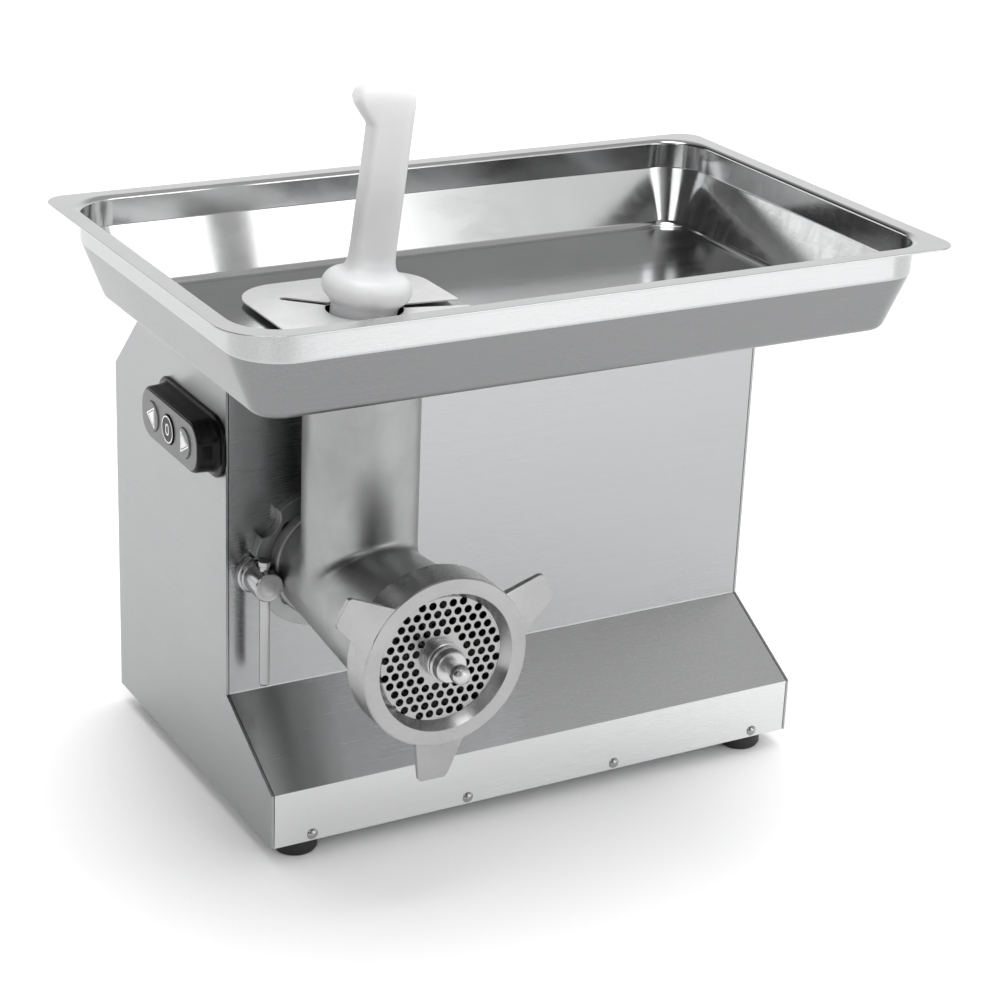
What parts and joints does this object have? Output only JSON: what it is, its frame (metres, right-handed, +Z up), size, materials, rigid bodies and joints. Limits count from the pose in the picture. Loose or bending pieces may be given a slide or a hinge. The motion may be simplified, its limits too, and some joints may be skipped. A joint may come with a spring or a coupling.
{
  "type": "electric meat grinder",
  "caption": "Free-standing table meat grinder: feed tray with guard and pusher over a neck, a worm head with perforated plate and winged ring nut, and a geared motor in a sheet steel body.",
  "frame": {"origin": "centre of the machine's footprint on the table, with the tray's overhang and the rear cable gland counted", "axes": "+X to the right as seen from the front, +Y from the ring nut towards the rear cover, +Z up"},
  "size_m": [0.579, 0.516, 0.5922],
  "materials": {
    "brushed_sheet": "brushed",
    "galvanised_sheet": "matte",
    "polished_sheet": "polished",
    "satin_plate": "satin",
    "cast_steel": "satin cast",
    "turned_steel": "satin turned",
    "chrome": "polished",
    "hard_steel": "ground",
    "bronze": "machined",
    "cast_aluminium": "as cast",
    "core_steel": "laminated",
    "copper_winding": "lacquered",
    "rubber": "matte",
    "black_plastic": "gloss",
    "grey_plastic": "matte",
    "capacitor_case": "satin",
    "white_plastic": "satin"
  },
  "bodies": {
    "housing": {"left_side_panel": "brushed_sheet", "right_side_panel": "brushed_sheet", "front_panel": "brushed_sheet", "top_plate": "brushed_sheet", "base_plate": "galvanised_sheet", "rear_cover": "brushed_sheet", "apron_screws": "chrome", "rear_cover_screws": "chrome", "rubber_feet": "rubber", "foot_bolts": "hard_steel", "foot_nuts": "hard_steel", "cable_gland": "black_plastic", "hub_flange": "cast_steel", "hub_flange_bolts": "hard_steel", "oil_seal": "rubber", "gearbox_housing": "cast_aluminium", "gearbox_gasket": "rubber", "gearbox_cover": "cast_aluminium", "gearbox_cover_screws": "hard_steel", "gearbox_pedestal": "galvanised_sheet", "output_bearings": "hard_steel", "intermediate_bearings": "hard_steel", "stator_core": "core_steel", "stator_windings": "copper_winding", "motor_frame": "cast_aluminium", "motor_end_shield": "cast_aluminium", "motor_bearings": "hard_steel", "fan_cover": "galvanised_sheet", "motor_cradle": "galvanised_sheet", "electrical_panel": "galvanised_sheet", "contactors": "grey_plastic", "capacitor": "capacitor_case", "internal_wiring": "grey_plastic", "switch_block": "grey_plastic", "control_housing": "black_plastic", "button_plate": "grey_plastic", "head_casting": "cast_steel", "plate_key": "hard_steel", "cutting_plate": "turned_steel"},
    "worm_drive": {"output_shaft": "hard_steel", "output_gear": "hard_steel", "worm": "turned_steel", "worm_pin": "turned_steel", "thrust_washer": "bronze", "cross_knife": "hard_steel"},
    "intermediate_drive": {"intermediate_pinion_shaft": "hard_steel", "intermediate_gear": "bronze"},
    "rotor": {"motor_pinion_shaft": "hard_steel", "rotor_core": "core_steel", "cooling_fan": "black_plastic"},
    "ring": {"ring_nut": "turned_steel"},
    "knob": {"locking_knob": "chrome"},
    "bar": {"tommy_bar": "chrome"},
    "tray": {"feed_tray": "polished_sheet", "guard_plate": "satin_plate", "guard_spacers": "turned_steel"},
    "pusher": {"pusher": "white_plastic"},
    "forward_key": {"forward_button": "grey_plastic"},
    "stop_key": {"stop_button": "black_plastic"},
    "reverse_key": {"reverse_button": "grey_plastic"}
  },
  "joints": [
    {"name": "worm_spin", "type": "hinge", "parent": "housing", "child": "worm_drive", "pos_m": [-0.1048, -0.071, 0.2127], "axis": [0, 1, 0], "continuous": true},
    {"name": "intermediate_spin", "type": "hinge", "parent": "housing", "child": "intermediate_drive", "pos_m": [-0.0298, 0.039, 0.2127], "axis": [0, 1, 0], "continuous": true},
    {"name": "motor_spin", "type": "hinge", "parent": "housing", "child": "rotor", "pos_m": [0.0422, 0.129, 0.2127], "axis": [0, 1, 0], "continuous": true},
    {"name": "ring_turn", "type": "hinge", "parent": "housing", "child": "ring", "pos_m": [-0.1048, -0.183, 0.2127], "axis": [0, -1, 0], "range_deg": [0, 360]},
    {"name": "knob_turn", "type": "hinge", "parent": "housing", "child": "knob", "pos_m": [-0.159, -0.009, 0.206], "axis": [0, -1, 0], "range_deg": [-20, 30]},
    {"name": "bar_slide", "type": "slide", "parent": "knob", "child": "bar", "axis": [0, 0, 1], "range_m": [0, 0.06]},
    {"name": "tray_lift", "type": "slide", "parent": "housing", "child": "tray", "axis": [0, 0, 1], "range_m": [0, 0.1]},
    {"name": "pusher_lift", "type": "slide", "parent": "tray", "child": "pusher", "axis": [0.1219, 0, 0.9925], "range_m": [0, 0.1]},
    {"name": "forward_press", "type": "slide", "parent": "housing", "child": "forward_key", "axis": [1, 0, 0], "range_m": [0, 0.0025], "stiffness_N_per_m": 400},
    {"name": "stop_press", "type": "slide", "parent": "housing", "child": "stop_key", "axis": [1, 0, 0], "range_m": [0, 0.0025], "stiffness_N_per_m": 400},
    {"name": "reverse_press", "type": "slide", "parent": "housing", "child": "reverse_key", "axis": [1, 0, 0], "range_m": [0, 0.0025], "stiffness_N_per_m": 400}
  ],
  "couplings": [
    {"joint": "intermediate_spin", "follows": "worm_spin", "ratio": -2.75},
    {"joint": "motor_spin", "follows": "worm_spin", "ratio": 9.625}
  ]
}
